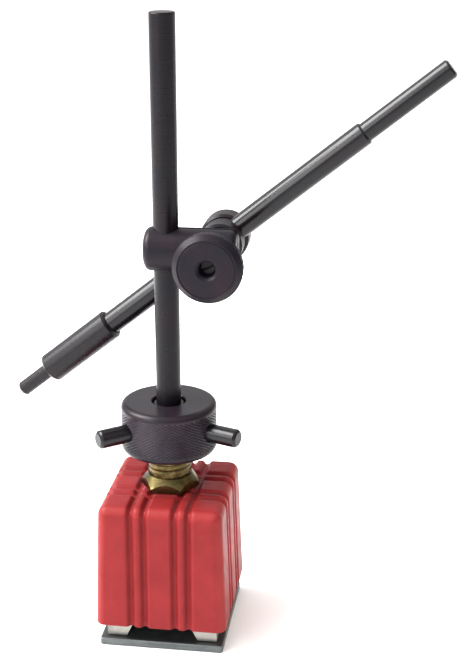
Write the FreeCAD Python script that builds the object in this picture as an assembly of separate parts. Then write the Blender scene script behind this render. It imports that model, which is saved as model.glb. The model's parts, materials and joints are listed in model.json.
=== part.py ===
import FreeCAD, Part
import math
import os

# Indicator stand: post, swivel clamp and stepped arm on a magnetic base with a push-off jack.
# Millimetres. Origin: centre of the keeper's resting face, on the post's axis.
# +Z up the post, +X towards the clamp stud's side, +Y away from the knob.

V = FreeCAD.Vector
X_AXIS = V(1, 0, 0)
Y_AXIS = V(0, 1, 0)
Z_AXIS = V(0, 0, 1)

# ---- fits ----
RUNNING_GAP = 0.05          # radial gap of a shaft that turns or slides in its hole
FACE_GAP = 0.1              # gap between faces that slide past each other

# ---- keeper and poles ----
KEEPER_WIDTH = 65.0
KEEPER_DEPTH = 69.0
KEEPER_THICK = 4.0
KEEPER_CORNER = 1.5
POLE_OUTER_X = 29.0
POLE_INNER_X = 15.0
POLE_TOE_X = 19.0           # inner edge of the pole at its working face
POLE_DEPTH = 62.0
POLE_TOP_Z = 69.5

# ---- housing ----
HOUSING_BOTTOM_Z = 12.6
HOUSING_TOP_Z = 79.5
HOUSING_BOTTOM_SIZE = (68.6, 73.0)
HOUSING_TOP_SIZE = (64.2, 68.6)
HOUSING_CORNER = 5.0
HOUSING_EDGE = 5.0
GROOVE_OFFSETS = (-15.0, -7.9, 7.9, 15.0)
GROOVE_WIDTH = 2.4
GROOVE_DEPTH = 1.9
CAVITY_GAP = 0.1            # between the cavity and the pole block in it

# ---- magnets and gap plate ----
MAGNET_BOTTOM_Z = 18.0
MAGNET_TOP_Z = 66.0
MAGNET_INNER_Y = 12.5
GAP_PLATE_TOP_Z = 17.5

# ---- bush ----
HEX_FLATS = 27.0
HEX_TOP_Z = 86.6
HEX_CROWN_R = 11.6          # the hexagon's crown tapers to this radius at its top
HEX_CROWN_DROP = 5.4
NECK_R = 11.2
NECK_GROOVE_R = 10.3
NECK_GROOVE_TOP_Z = 88.4
NECK_TOP_Z = 108.4
BUSH_TAIL_R = 10.5
BUSH_TAIL_BOTTOM_Z = 24.0
GUIDE_PIN_R = 2.0
GUIDE_PIN_Z = 48.0

# ---- capstan ----
CAPSTAN_R = 24.85
CAPSTAN_BOTTOM_Z = 100.0
CAPSTAN_TOP_Z = 126.8
CAPSTAN_TOP_ROUND = 3.2
CAPSTAN_BOTTOM_ROUND = 3.6
CAPSTAN_CEILING_Z = 119.5
CAPSTAN_WALL_TOP_Z = 122.9
CAPSTAN_RECESS_R = 8.8
JOURNAL_R = 7.6
TOMMY_R = 4.8
TOMMY_REACH = 41.1          # pin end, from the post's axis
TOMMY_ROOT = 16.5           # pin's blind end inside the collar
TOMMY_Z = 113.4
TOMMY_ANGLES = (-21.0, 99.0, 219.0)
TOMMY_NOSE = 1.4

# ---- jack spindle and post ----
SPINDLE_R = 7.0
SPINDLE_BOTTOM_Z = 19.5
SPINDLE_FLANGE_R = 10.8
SPINDLE_FLANGE_THICK = 3.0
SPINDLE_TOP_Z = 125.5
FOOT_TIP_Z = 11.8
FOOT_R = 6.0
JACK_TRAVEL = 7.5
CLIP_R = 8.6
CLIP_THICK = 1.2
CLIP_SEAT_R = 6.9
POST_R = 6.35
POST_TOP_Z = 323.5
POST_TOP_ROUND = 0.8
POST_SOCKET_R = 4.0
POST_THREAD_LENGTH = 14.0

# ---- swivel clamp ----
CLAMP_Z = 207.8
BAR_R = 11.1
BAR_LEFT_X = -10.4
BAR_RIGHT_X = 36.0
BAR_ROUND = 3.6
BAR_SLOT = 2.0
STUD_X = 25.8
STUD_R = 4.0
STUD_FRONT_Y = -29.4
STUD_SLOT = 1.4               # screwdriver slot across the stud's front end
STUD_SLOT_TURN = 28.0
SEAT_Y = 8.0                # flats on the bar's front and back
FRONT_SEAT_R = 10.4
REAR_SEAT_R = 11.6
EYE_R = 8.5
EYE_FRONT_Y = 12.5
ARM_Y = 22.8
HEAD_R = 12.6
SADDLE_R = 11.2
SADDLE_REAR_Y = 22.2
HEAD_FRONT_Y = 23.0
HEAD_REAR_Y = 35.4
DISC_CHAMFER = 1.2

# ---- knob ----
KNOB_R = 17.1
KNOB_FACE_Y = -34.9
KNOB_BACK_Y = -26.2
KNOB_HUB_R = 9.5
KNOB_CHAMFER = 2.8
KNOB_DISH_R = 5.4
KNOB_DISH_DEPTH = 0.9
KNOB_HOLE_R = 4.4
WASHER_R = 10.0
WASHER_THICK = 1.6

# ---- arm ----
ARM_TILT_DEG = 38.7
ARM_R = 6.0
ARM_START = -82.0           # along the arm, from the stud's axis
ARM_SHOULDER = 90.4
ARM_END = 142.0
ARM_END_R = 5.0
SLEEVE_START = -121.3
SLEEVE_END = -77.0
SLEEVE_R = 8.0
SPIGOT_START = -141.6
SPIGOT_INNER = -104.0
SPIGOT_R = 4.0
SPIGOT_TANG_R = 3.5
SLEEVE_SCREW_AT = -112.0
SLEEVE_SCREW_R = 2.0


def cylinder(radius, start, end, axis):
    """A cylinder between two points given as distances along one axis through the origin."""
    base = V(axis).multiply(start)
    return Part.makeCylinder(radius, end - start, base, axis)


def turned(profile):
    """A solid turned about Z from closed (radius, z) points."""
    points = [V(r, 0, z) for r, z in profile]
    face = Part.Face(Part.makePolygon(points + [points[0]]))
    return face.revolve(V(0, 0, 0), Z_AXIS, 360)


def turned_along(profile, origin, axis):
    """A solid turned from (radius, distance) points, its axis laid along a direction from an origin."""
    solid = turned(profile)
    solid.Placement = FreeCAD.Placement(origin, FreeCAD.Rotation(Z_AXIS, axis))
    return solid


def stud_line(profile):
    """A solid turned about the clamp stud's axis from (radius, y) points."""
    return turned_along(profile, V(STUD_X, 0, CLAMP_Z), Y_AXIS)


def rounded_rim(shape, radius, rim_r, axis, at):
    """Rounds a circular edge of a given radius whose centre lies at a distance along an axis."""
    rims = []
    for edge in shape.Edges:
        curve = edge.Curve
        if not hasattr(curve, "Radius") or abs(curve.Radius - rim_r) > 0.001:
            continue
        if abs(curve.Center.dot(axis) - at) < 0.001:
            rims.append(edge)
    return shape.makeFillet(radius, rims)


def block(x0, x1, y0, y1, z0, z1):
    return Part.makeBox(x1 - x0, y1 - y0, z1 - z0, V(x0, y0, z0))


def edges_where(shape, test):
    return [edge for edge in shape.Edges if test(edge.BoundBox)]


# ---- arm directions ----
tilt = math.radians(ARM_TILT_DEG)
ARM_DIRECTION = V(math.cos(tilt), 0, math.sin(tilt))
ARM_ORIGIN = V(STUD_X, ARM_Y, CLAMP_Z)


def arm_line(profile):
    """A solid turned about the arm's axis from (radius, distance from the stud) points."""
    return turned_along(profile, ARM_ORIGIN, ARM_DIRECTION)


# ---- keeper plate ----
def make_keeper():
    half_w = KEEPER_WIDTH / 2
    half_d = KEEPER_DEPTH / 2
    plate = block(-half_w, half_w, -half_d, half_d, 0, KEEPER_THICK)
    corners = edges_where(plate, lambda b: b.ZLength > KEEPER_THICK * 0.9)
    plate = plate.makeFillet(KEEPER_CORNER, corners)
    rims = edges_where(plate, lambda b: b.ZLength < 0.01)
    return plate.makeChamfer(0.4, rims)


# ---- poles ----
def make_pole(side):
    """One pole: a slab the full height of the cavity, its working face at the keeper."""
    working_z = KEEPER_THICK + FACE_GAP
    outline = [(POLE_OUTER_X, working_z), (POLE_OUTER_X, POLE_TOP_Z), (POLE_INNER_X, POLE_TOP_Z),
               (POLE_INNER_X, HOUSING_BOTTOM_Z), (POLE_TOE_X, working_z)]
    points = [V(side * x, -POLE_DEPTH / 2, z) for x, z in outline]
    face = Part.Face(Part.makePolygon(points + [points[0]]))
    pole = face.extrude(V(0, POLE_DEPTH, 0))
    toes = edges_where(pole, lambda b: b.ZMax < working_z + 0.01)
    return pole.makeChamfer(0.5, toes)


# ---- magnets and gap plate ----
def make_magnet(side):
    outer = POLE_DEPTH / 2
    low, high = sorted((side * MAGNET_INNER_Y, side * outer))
    inner_x = POLE_INNER_X
    return block(-inner_x, inner_x, low, high, MAGNET_BOTTOM_Z, MAGNET_TOP_Z)


def make_gap_plate():
    half_d = POLE_DEPTH / 2
    plate = block(-POLE_INNER_X, POLE_INNER_X, -half_d, half_d, HOUSING_BOTTOM_Z, GAP_PLATE_TOP_Z)
    return plate.cut(cylinder(SPINDLE_R + 0.5, 0, 40, Z_AXIS))


# ---- housing ----
def rounded_section(width, depth, corner, z):
    """A closed wire: a rectangle with rounded corners at height z."""
    plan = block(-width / 2, width / 2, -depth / 2, depth / 2, z, z + 1)
    uprights = edges_where(plan, lambda b: b.ZLength > 0.9)
    plan = plan.makeFillet(corner, uprights)
    lowest = min(plan.Faces, key=lambda f: f.CenterOfMass.z)
    return lowest.OuterWire


def face_half(axis_index, z):
    """Half the housing's size across one axis at height z, on the drafted side."""
    share = (z - HOUSING_BOTTOM_Z) / (HOUSING_TOP_Z - HOUSING_BOTTOM_Z)
    low = HOUSING_BOTTOM_SIZE[axis_index] / 2
    high = HOUSING_TOP_SIZE[axis_index] / 2
    return low + (high - low) * share


def ring_cutter(axis_index, offset):
    """A band that cuts one groove down two opposite faces and over the top between them."""
    below = HOUSING_BOTTOM_Z - 2
    above = HOUSING_TOP_Z + 5
    half_g = GROOVE_WIDTH / 2

    def loop(inset, top):
        low = face_half(axis_index, below) - inset
        high = face_half(axis_index, top) - inset
        return [(-low, below), (-high, top), (high, top), (low, below)]

    outer = loop(-8, above)
    inner = loop(GROOVE_DEPTH, HOUSING_TOP_Z - GROOVE_DEPTH)

    def slab(points, reach):
        if axis_index == 0:
            corners = [V(a, offset - reach, z) for a, z in points]
            run = V(0, 2 * reach, 0)
        else:
            corners = [V(offset - reach, a, z) for a, z in points]
            run = V(2 * reach, 0, 0)
        return Part.Face(Part.makePolygon(corners + [corners[0]])).extrude(run)

    core = slab(inner, half_g + 1)
    shoulders = [e for e in core.Edges if e.BoundBox.ZMin > HOUSING_TOP_Z - GROOVE_DEPTH - 0.01
                 and e.Length < 2 * half_g + 2.5]
    core = core.makeFillet(HOUSING_EDGE, shoulders)
    return slab(outer, half_g).cut(core)


def make_housing():
    bottom = rounded_section(*HOUSING_BOTTOM_SIZE, HOUSING_CORNER, HOUSING_BOTTOM_Z)
    top = rounded_section(*HOUSING_TOP_SIZE, HOUSING_CORNER, HOUSING_TOP_Z)
    shell = Part.makeLoft([bottom, top], True, True)
    rim = edges_where(shell, lambda b: b.ZMin > HOUSING_TOP_Z - 0.01)
    shell = shell.makeFillet(HOUSING_EDGE, rim)
    for axis_index in (0, 1):
        for offset in GROOVE_OFFSETS:
            shell = shell.cut(ring_cutter(axis_index, offset))
    half_w = POLE_OUTER_X + CAVITY_GAP
    half_d = POLE_DEPTH / 2 + CAVITY_GAP
    cavity = block(-half_w, half_w, -half_d, half_d, HOUSING_BOTTOM_Z - 1, POLE_TOP_Z + CAVITY_GAP)
    shell = shell.cut(cavity)
    return shell.cut(cylinder(BUSH_TAIL_R, 50, 120, Z_AXIS))


# ---- bush ----
def make_bush():
    bore = SPINDLE_R + RUNNING_GAP
    body = turned([(bore, BUSH_TAIL_BOTTOM_Z), (BUSH_TAIL_R, BUSH_TAIL_BOTTOM_Z),
                   (BUSH_TAIL_R, HOUSING_TOP_Z), (NECK_GROOVE_R, HOUSING_TOP_Z),
                   (NECK_GROOVE_R, NECK_GROOVE_TOP_Z), (NECK_R, NECK_GROOVE_TOP_Z),
                   (NECK_R, NECK_TOP_Z - 1), (NECK_R - 1, NECK_TOP_Z), (bore, NECK_TOP_Z)])
    corner_r = HEX_FLATS / math.sqrt(3)
    corners = [V(corner_r * math.cos(math.radians(a)), corner_r * math.sin(math.radians(a)), HOUSING_TOP_Z)
               for a in range(0, 360, 60)]
    hexagon = Part.Face(Part.makePolygon(corners + [corners[0]]))
    flange = hexagon.extrude(V(0, 0, HEX_TOP_Z - HOUSING_TOP_Z))
    crown = turned([(0, HOUSING_TOP_Z), (corner_r + 0.1, HOUSING_TOP_Z),
                    (corner_r + 0.1, HEX_TOP_Z - HEX_CROWN_DROP),
                    (HEX_CROWN_R, HEX_TOP_Z), (0, HEX_TOP_Z)])
    flange = flange.common(crown).cut(cylinder(bore, 0, 200, Z_AXIS))
    pin_hole = Part.makeCylinder(GUIDE_PIN_R, 20, V(0, 0, GUIDE_PIN_Z), Y_AXIS)
    return body.fuse(flange).removeSplitter().cut(pin_hole)


def make_guide_pin():
    return Part.makeCylinder(GUIDE_PIN_R, 5.6, V(0, 5.2, GUIDE_PIN_Z), Y_AXIS)


# ---- jack spindle, foot and clip ----
def make_spindle():
    flange_top = CAPSTAN_CEILING_Z - FACE_GAP
    flange_bottom = flange_top - SPINDLE_FLANGE_THICK
    clip_z = CAPSTAN_WALL_TOP_Z + FACE_GAP
    bar = turned([(0, SPINDLE_BOTTOM_Z), (SPINDLE_R - 1, SPINDLE_BOTTOM_Z),
                  (SPINDLE_R, SPINDLE_BOTTOM_Z + 1), (SPINDLE_R, flange_bottom),
                  (SPINDLE_FLANGE_R, flange_bottom), (SPINDLE_FLANGE_R, flange_top),
                  (JOURNAL_R, flange_top), (JOURNAL_R, clip_z), (CLIP_SEAT_R, clip_z),
                  (CLIP_SEAT_R, clip_z + CLIP_THICK), (JOURNAL_R, clip_z + CLIP_THICK),
                  (JOURNAL_R, SPINDLE_TOP_Z), (0, SPINDLE_TOP_Z)])
    socket = cylinder(POST_SOCKET_R, SPINDLE_TOP_Z - POST_THREAD_LENGTH - 1, SPINDLE_TOP_Z + 1, Z_AXIS)
    foot_socket = cylinder(3.0, SPINDLE_BOTTOM_Z - 1, SPINDLE_BOTTOM_Z + 10, Z_AXIS)
    half_slot = GUIDE_PIN_R + FACE_GAP
    slot = block(-half_slot, half_slot, 5.0, 9.0, GUIDE_PIN_Z - 4, GUIDE_PIN_Z + JACK_TRAVEL + 4)
    return bar.cut(socket).cut(foot_socket).cut(slot)


def make_push_off_foot():
    return turned([(0, FOOT_TIP_Z), (FOOT_R - 1.5, FOOT_TIP_Z), (FOOT_R, FOOT_TIP_Z + 1.5),
                   (FOOT_R, SPINDLE_BOTTOM_Z), (3.0, SPINDLE_BOTTOM_Z),
                   (3.0, SPINDLE_BOTTOM_Z + 9), (0, SPINDLE_BOTTOM_Z + 9)])


def make_clip():
    low = CAPSTAN_WALL_TOP_Z + FACE_GAP
    ring = cylinder(CLIP_R, low, low + CLIP_THICK, Z_AXIS)
    ring = ring.cut(cylinder(CLIP_SEAT_R, low - 1, low + 3, Z_AXIS))
    return ring.cut(block(-2.4, 2.4, -12, 0, low - 1, low + 3))


# ---- capstan ----
def pin_direction(angle_deg):
    a = math.radians(angle_deg)
    return V(math.cos(a), math.sin(a), 0)


def make_capstan():
    neck_bore = NECK_R + RUNNING_GAP
    wall_bore = JOURNAL_R + RUNNING_GAP
    collar = turned([(neck_bore + 0.8, CAPSTAN_BOTTOM_Z), (CAPSTAN_R, CAPSTAN_BOTTOM_Z),
                     (CAPSTAN_R, CAPSTAN_TOP_Z),
                     (CAPSTAN_RECESS_R + 0.5, CAPSTAN_TOP_Z), (CAPSTAN_RECESS_R, CAPSTAN_TOP_Z - 0.5),
                     (CAPSTAN_RECESS_R, CAPSTAN_WALL_TOP_Z), (wall_bore, CAPSTAN_WALL_TOP_Z),
                     (wall_bore, CAPSTAN_CEILING_Z), (neck_bore, CAPSTAN_CEILING_Z),
                     (neck_bore, CAPSTAN_BOTTOM_Z + 0.8)])
    collar = rounded_rim(collar, CAPSTAN_TOP_ROUND, CAPSTAN_R, Z_AXIS, CAPSTAN_TOP_Z)
    collar = rounded_rim(collar, CAPSTAN_BOTTOM_ROUND, CAPSTAN_R, Z_AXIS, CAPSTAN_BOTTOM_Z)
    for angle in TOMMY_ANGLES:
        way = pin_direction(angle)
        start = V(way).multiply(TOMMY_ROOT) + V(0, 0, TOMMY_Z)
        collar = collar.cut(Part.makeCylinder(TOMMY_R, 20, start, way))
    return collar


def make_tommy_pin(angle_deg):
    way = pin_direction(angle_deg)
    profile = [(0, TOMMY_ROOT), (TOMMY_R, TOMMY_ROOT), (TOMMY_R, TOMMY_REACH - TOMMY_NOSE),
               (TOMMY_R - 0.4 * TOMMY_NOSE, TOMMY_REACH - 0.4 * TOMMY_NOSE),
               (TOMMY_R - TOMMY_NOSE, TOMMY_REACH), (0, TOMMY_REACH)]
    return turned_along(profile, V(0, 0, TOMMY_Z), way)


# ---- post ----
def make_post():
    tail_bottom = SPINDLE_TOP_Z - POST_THREAD_LENGTH
    tail_r = POST_SOCKET_R - RUNNING_GAP
    foot_z = SPINDLE_TOP_Z + FACE_GAP
    post = turned([(0, tail_bottom), (tail_r, tail_bottom), (tail_r, foot_z), (POST_R, foot_z),
                   (POST_R, POST_TOP_Z), (0, POST_TOP_Z)])
    return rounded_rim(post, POST_TOP_ROUND, POST_R, Z_AXIS, POST_TOP_Z)


# ---- clamp bar ----
def make_clamp_bar():
    bar = Part.makeCylinder(BAR_R, BAR_RIGHT_X - BAR_LEFT_X, V(BAR_LEFT_X, 0, CLAMP_Z), X_AXIS)
    for end_x in (BAR_LEFT_X, BAR_RIGHT_X):
        bar = rounded_rim(bar, BAR_ROUND, BAR_R, X_AXIS, end_x)
    post_bore = Part.makeCylinder(POST_R + RUNNING_GAP, 60, V(0, 0, CLAMP_Z - 30), Z_AXIS)
    stud_bore = Part.makeCylinder(STUD_R + RUNNING_GAP, 60, V(STUD_X, -30, CLAMP_Z), Y_AXIS)
    front_seat = Part.makeCylinder(FRONT_SEAT_R, 20, V(STUD_X, -SEAT_Y - 20, CLAMP_Z), Y_AXIS)
    rear_seat = Part.makeCylinder(REAR_SEAT_R, 20, V(STUD_X, SEAT_Y, CLAMP_Z), Y_AXIS)
    slot = block(0, BAR_RIGHT_X + 5, -BAR_SLOT / 2, BAR_SLOT / 2, CLAMP_Z - 20, CLAMP_Z + 20)
    for cutter in (post_bore, stud_bore, front_seat, rear_seat, slot):
        bar = bar.cut(cutter)
    return bar


# ---- stud, saddle, knob and washer ----
def arm_bore():
    start = ARM_ORIGIN - V(ARM_DIRECTION).multiply(40)
    return Part.makeCylinder(ARM_R + RUNNING_GAP, 80, start, ARM_DIRECTION)


def make_arm_stud():
    stud = stud_line([(0, STUD_FRONT_Y), (STUD_R - 0.7, STUD_FRONT_Y), (STUD_R, STUD_FRONT_Y + 0.7),
                      (STUD_R, EYE_FRONT_Y), (EYE_R, EYE_FRONT_Y), (EYE_R, HEAD_FRONT_Y),
                      (HEAD_R - DISC_CHAMFER, HEAD_FRONT_Y), (HEAD_R, HEAD_FRONT_Y + DISC_CHAMFER),
                      (HEAD_R, HEAD_REAR_Y - DISC_CHAMFER), (HEAD_R - DISC_CHAMFER, HEAD_REAR_Y),
                      (0, HEAD_REAR_Y)])
    driver_slot = block(STUD_X - 6, STUD_X + 6, STUD_FRONT_Y - 1, STUD_FRONT_Y + 1.8,
                        CLAMP_Z - STUD_SLOT / 2, CLAMP_Z + STUD_SLOT / 2)
    driver_slot.rotate(V(STUD_X, 0, CLAMP_Z), Y_AXIS, -STUD_SLOT_TURN)
    return stud.cut(arm_bore()).cut(driver_slot)


def make_saddle():
    front = SEAT_Y + FACE_GAP
    saddle = stud_line([(0, front), (SADDLE_R - DISC_CHAMFER, front), (SADDLE_R, front + DISC_CHAMFER),
                        (SADDLE_R, SADDLE_REAR_Y - DISC_CHAMFER),
                        (SADDLE_R - DISC_CHAMFER, SADDLE_REAR_Y), (0, SADDLE_REAR_Y)])
    well = stud_line([(0, EYE_FRONT_Y - 0.5), (EYE_R + 0.1, EYE_FRONT_Y - 0.5), (EYE_R + 0.1, 60), (0, 60)])
    shank_hole = stud_line([(0, 0), (STUD_R + 0.1, 0), (STUD_R + 0.1, 60), (0, 60)])
    return saddle.cut(well).cut(shank_hole).cut(arm_bore())


def make_washer():
    front = -SEAT_Y - FACE_GAP - WASHER_THICK
    back = -SEAT_Y - FACE_GAP
    return stud_line([(STUD_R + 0.1, front), (WASHER_R, front), (WASHER_R, back), (STUD_R + 0.1, back)])


def make_knob():
    hub_back = -SEAT_Y - 2 * FACE_GAP - WASHER_THICK
    thread_r = STUD_R + RUNNING_GAP
    dish_y = KNOB_FACE_Y + KNOB_DISH_DEPTH
    return stud_line([(thread_r, hub_back), (KNOB_HUB_R, hub_back), (KNOB_HUB_R, KNOB_BACK_Y),
                      (KNOB_R - 1.2, KNOB_BACK_Y), (KNOB_R, KNOB_BACK_Y - 1.2),
                      (KNOB_R, KNOB_FACE_Y + KNOB_CHAMFER), (KNOB_R - KNOB_CHAMFER, KNOB_FACE_Y),
                      (KNOB_DISH_R, KNOB_FACE_Y), (KNOB_HOLE_R, dish_y), (thread_r, dish_y + 0.4)])


# ---- arm ----
def make_arm_rod():
    return arm_line([(0, ARM_START), (ARM_R - 0.5, ARM_START), (ARM_R, ARM_START + 0.5),
                     (ARM_R, ARM_SHOULDER - 1.0), (ARM_END_R, ARM_SHOULDER),
                     (ARM_END_R, ARM_END - 1.0), (ARM_END_R - 1.0, ARM_END), (0, ARM_END)])


def sleeve_screw_direction():
    """Out of the sleeve at right angles to the arm, on its lower side."""
    return V(math.sin(tilt), 0, -math.cos(tilt))


def make_sleeve():
    sleeve = arm_line([(0, SLEEVE_START), (SLEEVE_R - 1.2, SLEEVE_START), (SLEEVE_R, SLEEVE_START + 1.2),
                       (SLEEVE_R, SLEEVE_END - 1.2), (SLEEVE_R - 1.2, SLEEVE_END), (0, SLEEVE_END)])
    rod_socket = arm_line([(0, ARM_START), (ARM_R, ARM_START), (ARM_R, 0), (0, 0)])
    spigot_socket = arm_line([(0, SPIGOT_START), (SPIGOT_TANG_R, SPIGOT_START),
                              (SPIGOT_TANG_R, SPIGOT_INNER), (0, SPIGOT_INNER)])
    start = ARM_ORIGIN + V(ARM_DIRECTION).multiply(SLEEVE_SCREW_AT)
    screw_hole = Part.makeCylinder(SLEEVE_SCREW_R, 12, start, sleeve_screw_direction())
    return sleeve.cut(rod_socket).cut(spigot_socket).cut(screw_hole)


def make_sleeve_screw():
    start = ARM_ORIGIN + V(ARM_DIRECTION).multiply(SLEEVE_SCREW_AT)
    way = sleeve_screw_direction()
    screw = turned_along([(0, SPIGOT_TANG_R), (SLEEVE_SCREW_R, SPIGOT_TANG_R), (SLEEVE_SCREW_R, SLEEVE_R - 0.4),
                          (0, SLEEVE_R - 0.4)], start, way)
    driver_slot = turned_along([(0, SLEEVE_R - 1.4), (1.0, SLEEVE_R - 1.4), (1.0, SLEEVE_R), (0, SLEEVE_R)],
                               start, way)
    return screw.cut(driver_slot)


def make_spigot():
    return arm_line([(0, SPIGOT_START), (SPIGOT_R - 0.8, SPIGOT_START), (SPIGOT_R, SPIGOT_START + 0.8),
                     (SPIGOT_R, SLEEVE_START), (SPIGOT_TANG_R, SLEEVE_START),
                     (SPIGOT_TANG_R, SPIGOT_INNER), (0, SPIGOT_INNER)])


nodes = {
    "keeper_plate": make_keeper(),
    "left_pole": make_pole(-1),
    "right_pole": make_pole(1),
    "front_magnet": make_magnet(-1),
    "rear_magnet": make_magnet(1),
    "gap_plate": make_gap_plate(),
    "base_housing": make_housing(),
    "spindle_bush": make_bush(),
    "guide_pin": make_guide_pin(),
    "jack_spindle": make_spindle(),
    "push_off_foot": make_push_off_foot(),
    "spindle_clip": make_clip(),
    "capstan_collar": make_capstan(),
    "post": make_post(),
    "clamp_bar": make_clamp_bar(),
    "arm_stud": make_arm_stud(),
    "arm_saddle": make_saddle(),
    "knob_washer": make_washer(),
    "clamp_knob": make_knob(),
    "arm_rod": make_arm_rod(),
    "arm_sleeve": make_sleeve(),
    "sleeve_screw": make_sleeve_screw(),
    "arm_spigot": make_spigot(),
}
for number, angle in enumerate(TOMMY_ANGLES, start=1):
    nodes["tommy_pin_%d" % number] = make_tommy_pin(angle)

os.makedirs("parts", exist_ok=True)
for name, shape in nodes.items():
    if len(shape.Solids) == 1:
        shape = shape.Solids[0]
    shape.exportStep("parts/%s.step" % name)
    print(name, len(shape.Solids), shape.isValid(), round(shape.Volume / 1000, 2))
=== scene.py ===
import json
import math

import bmesh
import bpy
from mathutils import Matrix, Vector


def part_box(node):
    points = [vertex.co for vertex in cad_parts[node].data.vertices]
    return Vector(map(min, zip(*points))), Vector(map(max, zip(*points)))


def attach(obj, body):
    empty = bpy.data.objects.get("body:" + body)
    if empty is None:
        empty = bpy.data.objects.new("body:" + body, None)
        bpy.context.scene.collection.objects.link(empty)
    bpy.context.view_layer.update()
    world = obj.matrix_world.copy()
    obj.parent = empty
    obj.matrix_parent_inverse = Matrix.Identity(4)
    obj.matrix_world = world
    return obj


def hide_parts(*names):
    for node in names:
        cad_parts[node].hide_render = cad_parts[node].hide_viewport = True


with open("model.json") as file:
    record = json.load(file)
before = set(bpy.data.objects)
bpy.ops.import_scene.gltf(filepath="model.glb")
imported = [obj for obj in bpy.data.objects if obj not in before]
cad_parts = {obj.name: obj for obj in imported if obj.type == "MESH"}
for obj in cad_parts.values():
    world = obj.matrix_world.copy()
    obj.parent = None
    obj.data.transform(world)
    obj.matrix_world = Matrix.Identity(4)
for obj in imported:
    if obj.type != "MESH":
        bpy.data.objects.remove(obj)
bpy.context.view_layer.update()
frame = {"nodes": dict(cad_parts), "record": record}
nodes = frame["nodes"]
joints = {joint["name"]: joint for joint in frame["record"]["behaviour"]["joints"]}
MM = 0.001

# ======================= directions and axes =======================
X_WAY = Vector((1, 0, 0))
Y_WAY = Vector((0, 1, 0))
Z_WAY = Vector((0, 0, 1))
ORIGIN = Vector((0, 0, 0))
ARM_WAY = Vector(joints["arm_slide"]["axis"])
ARM_AT = Vector(joints["arm_tilt"]["pos_m"])
STUD_AT = Vector((ARM_AT.x, 0, ARM_AT.z))


# ======================= node helpers =======================
def new_material(name):
    material = bpy.data.materials.new(name)
    material.use_nodes = True
    tree = material.node_tree
    return material, tree, tree.nodes["Principled BSDF"]


def plug(tree, socket, value):
    """Links a socket, or sets a plain value on it."""
    if isinstance(value, bpy.types.NodeSocket):
        tree.links.new(value, socket)
    else:
        socket.default_value = value


def make_node(tree, kind, inputs=None, **settings):
    made = tree.nodes.new(kind)
    for key, value in settings.items():
        setattr(made, key, value)
    for key, value in (inputs or {}).items():
        plug(tree, made.inputs[key], value)
    return made


def math_node(tree, operation, a, b=0.0):
    return make_node(tree, "ShaderNodeMath", {0: a, 1: b}, operation=operation).outputs[0]


def vector_math(tree, operation, inputs, output="Vector"):
    return make_node(tree, "ShaderNodeVectorMath", inputs, operation=operation).outputs[output]


def attribute(tree, name):
    return make_node(tree, "ShaderNodeAttribute", attribute_name=name).outputs["Fac"]


def noise(tree, vector, scale, detail=3.0, roughness=0.55):
    inputs = {"Vector": vector, "Scale": scale, "Detail": detail, "Roughness": roughness}
    return make_node(tree, "ShaderNodeTexNoise", inputs).outputs["Fac"]


def ramp(tree, fac, stops):
    """A colour ramp from (position, value or colour) stops."""
    made = make_node(tree, "ShaderNodeValToRGB", {"Fac": fac})
    elements = made.color_ramp.elements
    while len(elements) < len(stops):
        elements.new(0.5)
    for element, (position, value) in zip(elements, stops):
        element.position = position
        colour = value if isinstance(value, tuple) else (value, value, value)
        element.color = (*colour, 1)
    return made.outputs["Color"]


def cover(tree, base, colour, mask, share=1.0):
    """Lays a colour over base where the mask is high, by no more than the share."""
    made = make_node(tree, "ShaderNodeMix", data_type="RGBA")
    factor, below, above = made.inputs[0], made.inputs[6], made.inputs[7]
    plug(tree, factor, mask if share == 1.0 else math_node(tree, "MULTIPLY", mask, share))
    plug(tree, below, base)
    plug(tree, above, (*colour, 1))
    return made.outputs[2]


def bump(tree, height, distance, strength, normal=None):
    inputs = {"Height": height, "Distance": distance, "Strength": strength}
    if normal is not None:
        inputs["Normal"] = normal
    return make_node(tree, "ShaderNodeBump", inputs).outputs["Normal"]


def object_place(tree):
    return make_node(tree, "ShaderNodeTexCoord").outputs["Object"]


def turned_place(tree, at, way):
    """(distance along an axis, radius from it, 0): the same all round, so noise on it makes turning marks."""
    place = vector_math(tree, "SUBTRACT", {0: object_place(tree), 1: at})
    along = vector_math(tree, "DOT_PRODUCT", {0: place, 1: way}, "Value")
    on_axis = vector_math(tree, "SCALE", {0: way, "Scale": along})
    off_axis = vector_math(tree, "SUBTRACT", {0: place, 1: on_axis})
    radius = vector_math(tree, "LENGTH", {0: off_axis}, "Value")
    return make_node(tree, "ShaderNodeCombineXYZ", {"X": along, "Y": radius}).outputs[0]


# ======================= materials =======================
TURNING_SCALE = 2600.0          # noise scale of the fine turning marks
BROAD_TURNING_SCALE = TURNING_SCALE / 9
GRAIN_SCALE = 1500


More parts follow.
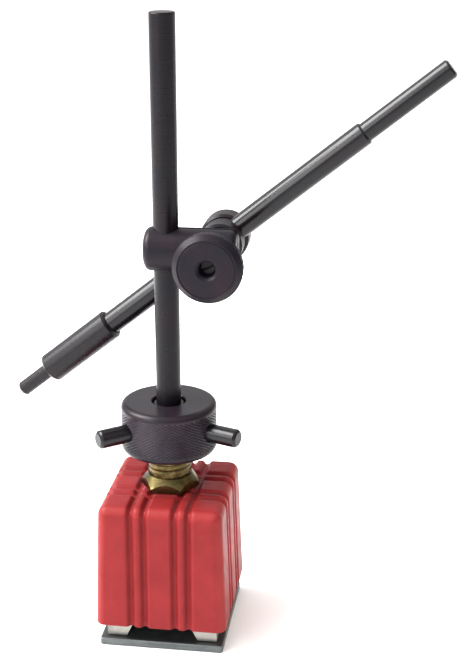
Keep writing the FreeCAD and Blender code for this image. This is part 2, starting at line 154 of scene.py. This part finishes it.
def red_enamel():
    """Thick red enamel with a slight orange peel: painted highlight makes the rounded edges lighter, painted
    shade makes the grooves darker.
    """
    material, tree, shader = new_material("red_enamel")
    place = object_place(tree)
    patches = noise(tree, place, 55, 4)
    mottle = noise(tree, place, 420, 3)
    body = ramp(tree, patches, [(0.3, (0.155, 0.010, 0.011)), (0.7, (0.200, 0.014, 0.016))])
    body = cover(tree, body, (0.27, 0.032, 0.031), mottle, 0.20)
    # painted highlight: a lighter red on the rounded edges
    body = cover(tree, body, (0.29, 0.042, 0.038), attribute(tree, "edge"), 0.25)
    # painted shade: a darker red down in the grooves
    body = cover(tree, body, (0.11, 0.003, 0.005), attribute(tree, "groove"), 0.30)
    plug(tree, shader.inputs["Base Color"], body)
    rough = ramp(tree, noise(tree, place, 160, 4), [(0.3, 0.36), (0.7, 0.50)])
    plug(tree, shader.inputs["Roughness"], rough)
    shader.inputs["Specular IOR Level"].default_value = 0.10
    shader.inputs["Coat Weight"].default_value = 0.03
    shader.inputs["Coat Roughness"].default_value = 0.25
    peel = bump(tree, noise(tree, place, 700, 2), 0.00016, 0.35)
    plug(tree, shader.inputs["Normal"], bump(tree, noise(tree, place, 110, 3), 0.0005, 0.25, peel))
    return material


def black_oxide(name, at, way, shine, tone=1.0, marks=0.35, level=0.14):
    """Black oxide on turned steel: fine turning marks, brown and blue patches, streaks and worn spots.

    shine is the middle roughness, tone scales the colours, marks is the depth of the turning marks and level
    the strength of the reflections.
    """
    material, tree, shader = new_material(name)

    def toned(*colour):
        return tuple(tone * part for part in colour)

    place = object_place(tree)
    turned = turned_place(tree, at, way)
    rings = noise(tree, turned, TURNING_SCALE, 2, 0.6)
    broad = noise(tree, turned, BROAD_TURNING_SCALE, 3)
    patches = noise(tree, place, 70, 4, 0.6)
    grain = noise(tree, place, GRAIN_SCALE, 2)
    worn = ramp(tree, noise(tree, place, 240, 5, 0.7), [(0.66, 0.0), (0.80, 0.55)])
    base = ramp(tree, patches, [(0.34, toned(0.005, 0.005, 0.009)), (0.66, toned(0.012, 0.006, 0.008))])
    base = cover(tree, base, toned(0.011, 0.009, 0.013), broad, 0.5)
    base = cover(tree, base, toned(0.050, 0.045, 0.046), worn)
    plug(tree, shader.inputs["Base Color"], base)
    ring_part = math_node(tree, "MULTIPLY", rings, 0.4)
    grain_part = math_node(tree, "MULTIPLY", grain, 0.6)
    mixed = math_node(tree, "ADD", ring_part, grain_part)
    rough = ramp(tree, mixed, [(0.3, 0.8 * shine), (0.7, 1.25 * shine)])
    plug(tree, shader.inputs["Roughness"], rough)
    shader.inputs["Specular IOR Level"].default_value = level
    fine = bump(tree, rings, 0.00003, marks)
    plug(tree, shader.inputs["Normal"], bump(tree, grain, 0.00003, 0.7 * marks, fine))
    return material


def knurled_black(name, at, way, shine, level):
    """Black oxide on knurling: the tips are rubbed a little lighter than the valleys."""
    material, tree, shader = new_material(name)
    place = object_place(tree)
    rings = noise(tree, turned_place(tree, at, way), 2200, 3, 0.6)
    patches = noise(tree, place, 80, 4, 0.6)
    wear = ramp(tree, noise(tree, place, 130, 3), [(0.35, 0.25), (0.7, 0.8)])
    rub = math_node(tree, "MULTIPLY", attribute(tree, "tip"), wear)
    base = ramp(tree, patches, [(0.35, (0.006, 0.005, 0.009)), (0.65, (0.013, 0.007, 0.010))])
    base = cover(tree, base, (0.014, 0.011, 0.015), rings, 0.45)
    base = cover(tree, base, (0.046, 0.038, 0.050), rub)
    plug(tree, shader.inputs["Base Color"], base)
    rough = ramp(tree, rings, [(0.3, shine - 0.07), (0.7, shine + 0.07)])
    plug(tree, shader.inputs["Roughness"], rough)
    shader.inputs["Specular IOR Level"].default_value = level
    plug(tree, shader.inputs["Normal"], bump(tree, rings, 0.00004, 0.45))
    return material


def aged_brass():
    """Stained brass with fine turning marks, with painted shade in the bottom of the thread."""
    material, tree, shader = new_material("aged_brass")
    rings = noise(tree, turned_place(tree, ORIGIN, Z_WAY), 2400, 3, 0.6)
    stain = noise(tree, object_place(tree), 150, 5, 0.65)
    dark, middle, bright = (0.030, 0.025, 0.010), (0.10, 0.078, 0.030), (0.25, 0.19, 0.08)
    base = ramp(tree, stain, [(0.32, dark), (0.50, middle), (0.72, bright)])
    base = cover(tree, base, (0.10, 0.078, 0.034), rings, 0.5)
    # painted shade: a darker brass down in the thread's groove
    base = cover(tree, base, (0.030, 0.024, 0.010), attribute(tree, "groove"), 0.5)
    plug(tree, shader.inputs["Base Color"], base)
    plug(tree, shader.inputs["Roughness"], ramp(tree, stain, [(0.3, 0.40), (0.7, 0.22)]))
    shader.inputs["Metallic"].default_value = 1.0
    plug(tree, shader.inputs["Normal"], bump(tree, rings, 0.00005, 0.5))
    return material


def bare_steel(name, dark, light, along, shine=0.36):
    """Ground steel: long fine scratches along one axis (0, 1 or 2), with dull and stained patches."""
    material, tree, shader = new_material(name)
    place = object_place(tree)
    stretch = tuple(60.0 if along == axis else 2600.0 for axis in range(3))
    scratches = noise(tree, vector_math(tree, "MULTIPLY", {0: place, 1: stretch}), 1.0, 3, 0.7)
    stain = noise(tree, place, 120, 5, 0.6)
    base = ramp(tree, scratches, [(0.3, dark), (0.7, light)])
    shade = tuple(0.45 * value for value in dark)
    base = cover(tree, base, shade, ramp(tree, stain, [(0.5, 0.0), (0.75, 0.5)]))
    plug(tree, shader.inputs["Base Color"], base)
    plug(tree, shader.inputs["Roughness"], ramp(tree, stain, [(0.3, shine - 0.06), (0.7, shine + 0.14)]))
    shader.inputs["Metallic"].default_value = 0.9
    plug(tree, shader.inputs["Normal"], bump(tree, scratches, 0.00003, 0.5))
    return material


def rough_casting(name, dark, light, metal):
    """A lumpy, matt surface for the magnets and the resin between them."""
    material, tree, shader = new_material(name)
    place = object_place(tree)
    lumps = noise(tree, place, 260, 6, 0.7)
    plug(tree, shader.inputs["Base Color"], ramp(tree, lumps, [(0.3, dark), (0.7, light)]))
    plug(tree, shader.inputs["Roughness"], ramp(tree, noise(tree, place, 900, 3), [(0.3, 0.55), (0.7, 0.8)]))
    shader.inputs["Metallic"].default_value = metal
    plug(tree, shader.inputs["Normal"], bump(tree, lumps, 0.0003, 0.6))
    return material


# ======================= mesh helpers =======================
CORNER_STEPS = 3                # pieces in a softened corner's curve
KNURL_PITCH = 1.5


def finished(bm, name, material, body, node, hard_angle):
    """Turns a bmesh in row-frame metres into a piece that stands for a CAD node."""
    bmesh.ops.recalc_face_normals(bm, faces=bm.faces)
    mesh = bpy.data.meshes.new(name)
    bm.to_mesh(mesh)
    bm.free()
    piece = bpy.data.objects.new(name, mesh)
    bpy.context.scene.collection.objects.link(piece)
    mesh.materials.append(material)
    mesh.set_sharp_from_angle(angle=math.radians(hard_angle))
    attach(piece, body)
    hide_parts(node)


def softened(points, size):
    """Rounds the corners of an open (radius, distance) profile, with a support point on each side."""
    made = [points[0]]
    for before, here, after in zip(points, points[1:], points[2:]):
        before, here, after = Vector(before), Vector(here), Vector(after)
        back, on = before - here, after - here
        reach = min(size, 0.4 * back.length, 0.4 * on.length)
        start = here + back.normalized() * reach
        end = here + on.normalized() * reach
        made.append(tuple(start + back.normalized() * reach * 0.25))
        for step in range(CORNER_STEPS + 1):
            t = step / CORNER_STEPS
            made.append(tuple(start * (1 - t) ** 2 + here * 2 * t * (1 - t) + end * t ** 2))
        made.append(tuple(end + on.normalized() * reach * 0.25))
    made.append(points[-1])
    return made


def arc(centre, radius, start, end, steps):
    """Points of an arc in (radius, distance), angles in degrees."""
    made = []
    for step in range(steps + 1):
        angle = math.radians(start + (end - start) * step / steps)
        made.append((centre[0] + radius * math.cos(angle), centre[1] + radius * math.sin(angle)))
    return made


def ends_of(edges):
    """The vertices of some edges, each once and always in the same order."""
    return list(dict.fromkeys(vert for edge in edges for vert in edge.verts))


def axis_matrix(at, way):
    """Turns (radius in X and Y, distance in Z) into the row frame."""
    return Matrix.Translation(at) @ Vector(way).to_track_quat("Z", "X").to_matrix().to_4x4()


def knurled_lathe(below, above, radius, depth, at, way):
    """A closed turned ring whose outer wall, between two profiles, carries diamond knurling.

    below runs round the inside to the wall's first edge, above from the wall's last edge back to the start.
    """
    bm = bmesh.new()
    tip = bm.verts.layers.float.new("tip")
    place = axis_matrix(at, way)
    columns = 2 * round(math.pi * radius / KNURL_PITCH)
    first, last = below[-1][1], above[0][1]
    rows = 2 * max(2, round(abs(last - first) / KNURL_PITCH))

    def ring(spots):
        made = []
        for column, (out, distance, lift) in enumerate(spots):
            angle = 2 * math.pi * column / columns
            spot = Vector((out * math.cos(angle), out * math.sin(angle), distance)) * MM
            vert = bm.verts.new(place @ spot)
            vert[tip] = lift
            made.append(vert)
        return made

    def plain_ring(out, distance):
        return ring([(out, distance, 0.0)] * columns)

    rings = [plain_ring(*point) for point in below]
    start = len(rings) - 1
    for row in range(1, rows):
        distance = first + (last - first) * row / rows
        spots = []
        for column in range(columns):
            peak = (row + column) % 2
            spots.append((radius if peak else radius - depth, distance, float(peak)))
        rings.append(ring(spots))
    end = len(rings)
    rings += [plain_ring(*point) for point in above]
    rings.append(rings[0])
    for index, (low, high) in enumerate(zip(rings, rings[1:])):
        knurled = start < index < end - 1
        for column in range(columns):
            after = (column + 1) % columns
            a, b, c, d = low[column], low[after], high[after], high[column]
            if not knurled:
                bm.faces.new((a, b, c, d)).smooth = True
            elif a[tip] < 0.5:
                bm.faces.new((a, b, c)).smooth = False
                bm.faces.new((a, c, d)).smooth = False
            else:
                bm.faces.new((a, b, d)).smooth = False
                bm.faces.new((b, c, d)).smooth = False
    return bm


# ======================= base housing =======================
HOUSING_ROUND = 5.0
HOUSING_LIP = 1.0
HOUSING_TAPER = 2.2             # how far each side leans in at the top
TAPER_FROM = 18.0               # the strip of a face inside this stays upright, so its grooves are parallel
GROOVES = (-15.0, -7.9, 7.9, 15.0)
GROOVE_HALF = 2.6
GROOVE_DEPTH = 1.9
GROOVE_SHAPE = 0.8
# how quickly and how sharply the painted highlight on the rounded edges comes in
EDGE_HIGHLIGHT_GAIN = 1.9
EDGE_HIGHLIGHT_SHAPE = 1.5
CAVITY_WALL_GAP = 0.1
BUSH_HOLE_R = 10.5
MIDDLE_STEP = 1.2
FINE_STEPS = 8                  # grid lines in half a groove, in a rounded corner and from groove to corner
WALL_STEPS = 14
LIP_ANGLES = (90, 70, 50, 30, 10, 0)


def groove_share(distance):
    """1 on a groove's bottom line, falling smoothly to 0 at its edges."""
    share = 0.0
    for line in GROOVES:
        off = abs(distance - line) / GROOVE_HALF
        if off < 1:
            share = max(share, (0.5 + 0.5 * math.cos(math.pi * off)) ** GROOVE_SHAPE)
    return share


def corner_reach(step):
    """How far a corner's grid line lies past the flat, so that lines are evenly spaced round the corner."""
    return HOUSING_ROUND * math.tan(math.radians(45 * step / FINE_STEPS))


def face_lines(half):
    """Grid lines across a face: close together at the grooves and the rounded corners."""
    lines = {0.0}
    for line in GROOVES:
        lines.update(line + GROOVE_HALF * step / FINE_STEPS for step in range(-FINE_STEPS, FINE_STEPS + 1))
    lines.update(side * (MIDDLE_STEP * step) for side in (-1, 1) for step in range(5))
    flat = half - HOUSING_ROUND
    grooves_end = GROOVES[-1] + GROOVE_HALF
    for step in range(1, FINE_STEPS + 1):
        for value in (grooves_end + (flat - grooves_end) * step / FINE_STEPS, flat + corner_reach(step)):
            lines.update((value, -value))
    kept = []
    for value in sorted(lines):
        if not kept or value - kept[-1] > 0.02:
            kept.append(value)
    return kept


def make_housing():
    low, high = (Vector(corner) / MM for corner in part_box("base_housing"))
    tall = high.z - low.z
    flat_top = high.z - HOUSING_ROUND
    bm = bmesh.new()
    # mask of the painted shade in the grooves, and in the bush's thread
    groove_shade_layer = bm.verts.layers.float.new("groove")
    # mask of the painted highlight on the rounded edges
    edge_highlight_layer = bm.verts.layers.float.new("edge")

    def surface(q, inset=0.0):
        """A vertex of the outside, from a point q on the plain box round it."""
        core = Vector((max(-high.x + HOUSING_ROUND, min(high.x - HOUSING_ROUND, q.x)),
                       max(-high.y + HOUSING_ROUND, min(high.y - HOUSING_ROUND, q.y)),
                       min(flat_top, q.z)))
        normal = (q - core).normalized()
        spot = core + normal * (HOUSING_ROUND - inset)
        rise = (spot.z - low.z) / tall
        for axis in (0, 1):
            outside = (abs(q[axis]) - TAPER_FROM) / (high[axis] - HOUSING_ROUND - TAPER_FROM)
            spot[axis] -= math.copysign(HOUSING_TAPER * rise * max(0.0, min(1.0, outside)), q[axis])
        share = 1 - (1 - groove_share(spot.x)) * (1 - groove_share(spot.y))
        spot -= normal * share * GROOVE_DEPTH
        vert = bm.verts.new(spot * MM)
        # the painted shade in the grooves follows their depth
        vert[groove_shade_layer] = share ** 2
        # the painted highlight lies on the rounded edges, and not in the grooves
        lean = sorted(abs(value) for value in normal)
        vert[edge_highlight_layer] = (1 - share) * min(1.0, EDGE_HIGHLIGHT_GAIN * lean[1]) ** EDGE_HIGHLIGHT_SHAPE
        return vert

    def patch(rows):
        for first, second in zip(rows, rows[1:]):
            for a, b, c, d in zip(first, first[1:], second[1:], second):
                bm.faces.new((a, b, c, d)).smooth = True

    # outside: four sides and the top
    xs, ys = face_lines(high.x), face_lines(high.y)
    wall_low = low.z + HOUSING_LIP
    heights = []
    for angle in map(math.radians, LIP_ANGLES):
        heights.append((low.z + HOUSING_LIP * (1 - math.sin(angle)), HOUSING_LIP * (1 - math.cos(angle))))
    for step in range(1, WALL_STEPS + 1):
        heights.append((wall_low + (flat_top - wall_low) * step / WALL_STEPS, 0.0))
    for step in range(1, FINE_STEPS + 1):
        heights.append((flat_top + corner_reach(step), 0.0))
    for side in (-1, 1):
        patch([[surface(Vector((x, side * high.y, z)), inset) for x in xs] for z, inset in heights])
        patch([[surface(Vector((side * high.x, y, z)), inset) for y in ys] for z, inset in heights])
    patch([[surface(Vector((x, y, high.z))) for x in xs] for y in ys])
    bmesh.ops.remove_doubles(bm, verts=bm.verts, dist=1e-6)

    # bush hole through the top
    inside = []
    for face in bm.faces:
        centre = face.calc_center_median()
        if centre.z > flat_top * MM and centre.to_2d().length < BUSH_HOLE_R * MM:
            inside.append(face)
    bmesh.ops.delete(bm, geom=inside, context="FACES")
    rim = [edge for edge in bm.edges if edge.is_boundary and edge.verts[0].co.z > flat_top * MM]
    for vert in ends_of(rim):
        vert.co.xy = vert.co.to_2d().normalized() * BUSH_HOLE_R * MM

    # cavity: underside, walls and ceiling
    poles_high = Vector(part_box("right_pole")[1])
    cavity = poles_high + Vector((1, 1, 1)) * CAVITY_WALL_GAP * MM

    def carry(edges, move):
        """New faces from edges to where move() puts their ends; gives the new edges."""
        moved = {}
        for vert in ends_of(edges):
            moved[vert] = bm.verts.new(move(vert.co))
        for edge in edges:
            a, b = edge.verts
            bm.faces.new((a, b, moved[b], moved[a])).smooth = False
        return [bm.edges.get((moved[edge.verts[0]], moved[edge.verts[1]])) for edge in edges]

    def onto_cavity(co):
        scale = min(cavity.x / max(abs(co.x), 1e-9), cavity.y / max(abs(co.y), 1e-9))
        return Vector((co.x * scale, co.y * scale, low.z * MM))

    def onto_ceiling(co):
        return Vector((co.x, co.y, cavity.z))

    foot = [edge for edge in bm.edges if edge.is_boundary and edge.verts[0].co.z < flat_top * MM]
    roof = carry(carry(foot, onto_cavity), onto_ceiling)
    tube = carry(rim, onto_ceiling)
    bmesh.ops.triangle_fill(bm, edges=roof + tube, use_beauty=True)
    finished(bm, "enamelled_housing", red_enamel(), "base", "base_housing", 50)


# ======================= brass bush =======================
NECK_R = 11.2
NECK_LOW_Z = 88.4
WALL_TOLERANCE = 0.05
THREAD_LEAD = 3.0
THREAD_DEPTH = 0.22
THREAD_WIDTH = 0.6              # share of the lead that the groove takes
THREAD_ROWS = 57
THREAD_RUN_OUT = 4              # rows over which the groove fades at each end


def turn_of(vert):
    return math.atan2(vert.co.y, vert.co.x)


def make_bush(material):
    """The CAD bush with the capstan's thread cut into the wall of its neck."""
    bm = bmesh.new()
    cad_mesh = nodes["spindle_bush"].data
    verts = [bm.verts.new(vert.co) for vert in cad_mesh.vertices]
    for polygon in cad_mesh.polygons:
        bm.faces.new([verts[index] for index in polygon.vertices])
    bmesh.ops.remove_doubles(bm, verts=bm.verts, dist=1e-6)
    # mask of the painted shade in the thread's groove
    groove_shade_layer = bm.verts.layers.float.new("groove")

    def on_wall(vert):
        off = abs(vert.co.to_2d().length / MM - NECK_R)
        return off < WALL_TOLERANCE and vert.co.z / MM > NECK_LOW_Z - WALL_TOLERANCE

    wall = [face for face in bm.faces if all(map(on_wall, face.verts)) and abs(face.normal.z) < 0.1]
    bmesh.ops.delete(bm, geom=wall, context="FACES")
    rims = sorted(ends_of(edge for edge in bm.edges if edge.is_boundary), key=lambda vert: vert.co.z)
    columns = len(rims) // 2

    def in_order(rim):
        """A rim's vertices round the axis, counted from halfway between two of them."""
        return sorted(rim, key=lambda vert: (turn_of(vert) + math.pi / columns) % (2 * math.pi))

    low, high = in_order(rims[:columns]), in_order(rims[columns:])
    rings = [low]
    for row in range(1, THREAD_ROWS):
        run_out = min(1.0, row / THREAD_RUN_OUT, (THREAD_ROWS - row) / THREAD_RUN_OUT)
        ring = []
        for under, over in zip(low, high):
            spot = under.co.lerp(over.co, row / THREAD_ROWS)
            phase = (spot.z / MM / THREAD_LEAD - turn_of(under) / (2 * math.pi)) % 1.0
            groove = max(0.0, 1 - abs(2 * phase - 1) / THREAD_WIDTH) * run_out
            spot.xy *= 1 - THREAD_DEPTH * groove / NECK_R
            vert = bm.verts.new(spot)
            # the painted shade follows the groove's depth
            vert[groove_shade_layer] = groove
            ring.append(vert)
        rings.append(ring)
    rings.append(high)
    for first, second in zip(rings, rings[1:]):
        for column in range(columns):
            after = (column + 1) % columns
            bm.faces.new((first[column], first[after], second[after], second[column]))
    for face in bm.faces:
        face.smooth = True
    finished(bm, "threaded_bush", material, "base", "spindle_bush", 28)


# ======================= capstan and clamp knob =======================
ARC_STEPS = 12

COLLAR_BORE_R = 11.25
COLLAR_BORE_CHAMFER = 0.8
COLLAR_CEILING_DROP = 7.3       # from the top down to the ceiling over the bush's neck
COLLAR_JOURNAL_R = 7.65
COLLAR_RECESS_R = 8.8
COLLAR_RECESS_DEEP = 3.9
COLLAR_RECESS_CHAMFER = 0.5
COLLAR_BOTTOM_ROUND = 3.6
COLLAR_TOP_ROUND = 3.2
COLLAR_KNURL_DEPTH = 0.34

KNOB_BORE_R = 4.05
KNOB_HUB_R = 9.5
KNOB_THICK = 8.7
KNOB_BACK_CHAMFER = 1.2
KNOB_BEVEL_WIDE = 2.6
KNOB_BEVEL_DEEP = 2.8
KNOB_KNURL_DEPTH = 0.3


def make_capstan():
    low, high = (Vector(corner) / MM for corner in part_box("capstan_collar"))
    radius = (high.x - low.x) / 2
    ceiling = high.z - COLLAR_CEILING_DROP
    recess_floor = high.z - COLLAR_RECESS_DEEP
    mouth_r = COLLAR_BORE_R + COLLAR_BORE_CHAMFER
    recess_mouth_r = COLLAR_RECESS_R + COLLAR_RECESS_CHAMFER
    below = softened([(COLLAR_JOURNAL_R, recess_floor), (COLLAR_JOURNAL_R, ceiling),
                      (COLLAR_BORE_R, ceiling), (COLLAR_BORE_R, low.z + COLLAR_BORE_CHAMFER),
                      (mouth_r, low.z), (radius - COLLAR_BOTTOM_ROUND, low.z)], 0.2)
    centre = (radius - COLLAR_BOTTOM_ROUND, low.z + COLLAR_BOTTOM_ROUND)
    below += arc(centre, COLLAR_BOTTOM_ROUND, -87, 0, ARC_STEPS)
    centre = (radius - COLLAR_TOP_ROUND, high.z - COLLAR_TOP_ROUND)
    above = arc(centre, COLLAR_TOP_ROUND, 0, 90, ARC_STEPS)
    above += softened([(radius - 4.0, high.z), (recess_mouth_r, high.z),
                       (COLLAR_RECESS_R, high.z - COLLAR_RECESS_CHAMFER),
                       (COLLAR_RECESS_R, recess_floor + 0.02), (COLLAR_JOURNAL_R + 0.3, recess_floor)], 0.2)
    bm = knurled_lathe(below, above, radius, COLLAR_KNURL_DEPTH, ORIGIN, Z_WAY)
    black = knurled_black("collar_black", ORIGIN, Z_WAY, shine=0.30, level=0.17)
    finished(bm, "knurled_collar", black, "capstan", "capstan_collar", 40)


def make_knob():
    low, high = (Vector(corner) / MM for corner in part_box("clamp_knob"))
    radius = (high.x - low.x) / 2
    face, hub_back = low.y, high.y
    back = face + KNOB_THICK
    bevel_r = radius - KNOB_BEVEL_WIDE
    below = softened([(KNOB_BORE_R, hub_back - 0.01), (KNOB_HUB_R, hub_back), (KNOB_HUB_R, back),
                      (radius - KNOB_BACK_CHAMFER, back)], 0.4)
    below.append((radius - 0.25, back - 0.95))
    line = [(bevel_r - 0.3, face), (bevel_r - 0.7, face + 0.4), (bevel_r - 1.2, face)]
    mouth = [(5.4, face), (4.4, face + 0.9), (KNOB_BORE_R, face + 1.3)]
    above = softened([(radius, face + KNOB_BEVEL_DEEP), (bevel_r, face)] + line + mouth, 0.25)
    bm = knurled_lathe(below, above, radius, KNOB_KNURL_DEPTH, STUD_AT, Y_WAY)
    black = knurled_black("knob_black", STUD_AT, Y_WAY, shine=0.42, level=0.12)
    finished(bm, "knurled_knob", black, "knob", "clamp_knob", 50)


# ======================= camera =======================
CAMERA_AIM = (31.476, 165.211)  # to the right in the picture's plane, and up
CAMERA_DISTANCE = 688.75
CAMERA_AZIMUTH = 8.155
CAMERA_ELEVATION = 19.149
CAMERA_ROLL = -0.153
CAMERA_LENS = 74.09


def add_camera():
    data = bpy.data.cameras.new("camera")
    camera = bpy.data.objects.new("camera", data)
    bpy.context.scene.collection.objects.link(camera)
    azimuth = math.radians(CAMERA_AZIMUTH)
    elevation = math.radians(CAMERA_ELEVATION)
    back = Vector((math.sin(azimuth) * math.cos(elevation),
                   -math.cos(azimuth) * math.cos(elevation),
                   math.sin(elevation)))
    aim = Vector((CAMERA_AIM[0] * math.cos(azimuth), CAMERA_AIM[0] * math.sin(azimuth), CAMERA_AIM[1]))
    camera.location = (aim + back * CAMERA_DISTANCE) * MM
    turn = (-back).to_track_quat("-Z", "Y").to_matrix()
    roll = Matrix.Rotation(math.radians(CAMERA_ROLL), 3, "Z")
    camera.rotation_euler = (turn @ roll).to_euler()
    data.lens = CAMERA_LENS
    data.sensor_width = 36.0
    data.clip_start = 0.01
    data.clip_end = 100.0
    bpy.context.scene.camera = camera


# ======================= studio =======================
SOFTBOX_WAY = Vector((-0.55, -0.10, 0.83)).normalized()
SOFTBOX_STOPS = [(0.0, 0.10), (0.45, 0.26), (0.75, 0.66), (1.0, 1.0)]
SOFTBOX_STRENGTH = 2.1
KEY_WAY = Vector((-0.604, -0.72, 0.342))
FLOOR_HALF = 30.0


def add_lamp(name, kind, way, distance, aim, power):
    """A lamp out from aim along way; gives its object, still unturned."""
    data = bpy.data.lights.new(name, kind)
    data.energy = power
    lamp = bpy.data.objects.new(name, data)
    bpy.context.scene.collection.objects.link(lamp)
    lamp.location = Vector(aim) + Vector(way).normalized() * distance
    return lamp


def add_area(name, way, distance, aim, size, power, long_way=Z_WAY):
    """A soft box whose longer side is turned as near to long_way as it goes."""
    lamp = add_lamp(name, "AREA", way, distance, aim, power)
    lamp.data.shape = "RECTANGLE"
    lamp.data.size, lamp.data.size_y = size
    back = Vector(way).normalized()
    side = (Vector(long_way) - back * back.dot(Vector(long_way))).normalized()
    lamp.rotation_euler = Matrix((side, back.cross(side), back)).transposed().to_euler()


def add_spot(name, way, distance, aim, cone, power, colour):
    """A narrow spot lamp with a soft edge."""
    lamp = add_lamp(name, "SPOT", way, distance, aim, power)
    lamp.data.color = colour
    lamp.data.spot_size = cone
    lamp.data.spot_blend = 0.6
    lamp.data.shadow_soft_size = 0.04
    lamp.rotation_euler = Vector(way).normalized().to_track_quat("Z", "Y").to_euler()


def add_floor():
    bm = bmesh.new()
    bmesh.ops.create_grid(bm, x_segments=1, y_segments=1, size=FLOOR_HALF)
    mesh = bpy.data.meshes.new("floor")
    bm.to_mesh(mesh)
    bm.free()
    floor = bpy.data.objects.new("floor", mesh)
    bpy.context.scene.collection.objects.link(floor)
    material, _, shader = new_material("floor_white")
    shader.inputs["Base Color"].default_value = (0.93, 0.93, 0.93, 1)
    shader.inputs["Roughness"].default_value = 0.9
    mesh.materials.append(material)


def add_world():
    """A pale surround, brightest along SOFTBOX_WAY."""
    world = bpy.data.worlds.new("studio")
    bpy.context.scene.world = world
    world.use_nodes = True
    tree = world.node_tree
    background = tree.nodes["Background"]
    sky = make_node(tree, "ShaderNodeTexCoord").outputs["Generated"]
    facing = vector_math(tree, "DOT_PRODUCT", {0: sky, 1: SOFTBOX_WAY}, "Value")
    share = math_node(tree, "ADD", math_node(tree, "MULTIPLY", facing, 0.5), 0.5)
    plug(tree, background.inputs["Color"], ramp(tree, share, SOFTBOX_STOPS))
    background.inputs["Strength"].default_value = SOFTBOX_STRENGTH


def add_lights():
    add_area("key", KEY_WAY, distance=4.0, aim=ARM_AT, size=(2.3, 1.5), power=75,
             long_way=ARM_WAY.cross(KEY_WAY))
    add_area("top", (-0.68, -0.10, 0.72), distance=1.3, aim=(0, 0, 0.1), size=(0.8, 0.8), power=42)
    # warm light on the housing's right side only
    add_spot("warm_side", (1.0, 0.10, 0.16), distance=1.0, aim=(0, 0, 0.035), cone=0.11, power=36,
             colour=(1.0, 0.45, 0.12))


# ======================= finishes of the CAD pieces =======================
def paint(material, *names):
    for name in names:
        for slot in nodes[name].material_slots:
            slot.link = "OBJECT"
            slot.material = material


def paint_nodes(brass):
    post_black = black_oxide("post_black", ORIGIN, Z_WAY, shine=0.30, tone=0.6, marks=0.25, level=0.17)
    stud_black = black_oxide("stud_black", STUD_AT, Y_WAY, shine=0.36)
    bar_black = black_oxide("bar_black", STUD_AT, X_WAY, shine=0.34)
    arm_black = black_oxide("arm_black", ARM_AT, ARM_WAY, shine=0.22, tone=0.4, marks=0.05, level=0.29)
    sleeve_black = black_oxide("sleeve_black", ARM_AT, ARM_WAY, shine=0.29, tone=0.6, marks=0.1, level=0.24)
    pin_black = black_oxide("pin_black", ORIGIN, Z_WAY, shine=0.24, tone=0.5, marks=0.05, level=0.30)
    paint(post_black, "post", "spindle_clip", "jack_spindle")
    paint(stud_black, "arm_stud", "arm_saddle", "knob_washer")
    paint(bar_black, "clamp_bar")
    paint(arm_black, "arm_rod")
    paint(sleeve_black, "arm_sleeve", "arm_spigot")
    paint(pin_black, "tommy_pin_1", "tommy_pin_2", "tommy_pin_3")
    paint(brass, "push_off_foot")

    pole_steel = bare_steel("pole_steel", (0.22, 0.212, 0.194), (0.34, 0.333, 0.303), along=1)
    keeper_steel = bare_steel("keeper_steel", (0.075, 0.086, 0.089), (0.135, 0.146, 0.146), along=0)
    bright_steel = bare_steel("bright_steel", (0.40, 0.40, 0.41), (0.58, 0.58, 0.58), along=2, shine=0.3)
    paint(pole_steel, "left_pole", "right_pole")
    paint(keeper_steel, "keeper_plate")
    paint(bright_steel, "guide_pin", "sleeve_screw")

    magnet_metal = rough_casting("magnet_metal", (0.16, 0.16, 0.17), (0.30, 0.30, 0.31), metal=0.8)
    gap_resin = rough_casting("gap_resin", (0.010, 0.013, 0.016), (0.030, 0.036, 0.042), metal=0.0)
    paint(magnet_metal, "front_magnet", "rear_magnet")
    paint(gap_resin, "gap_plate")


add_camera()
add_floor()
add_world()
add_lights()
brass = aged_brass()
paint_nodes(brass)
make_bush(brass)
make_housing()
make_capstan()
make_knob()
bpy.context.scene.view_settings.view_transform = "Standard"
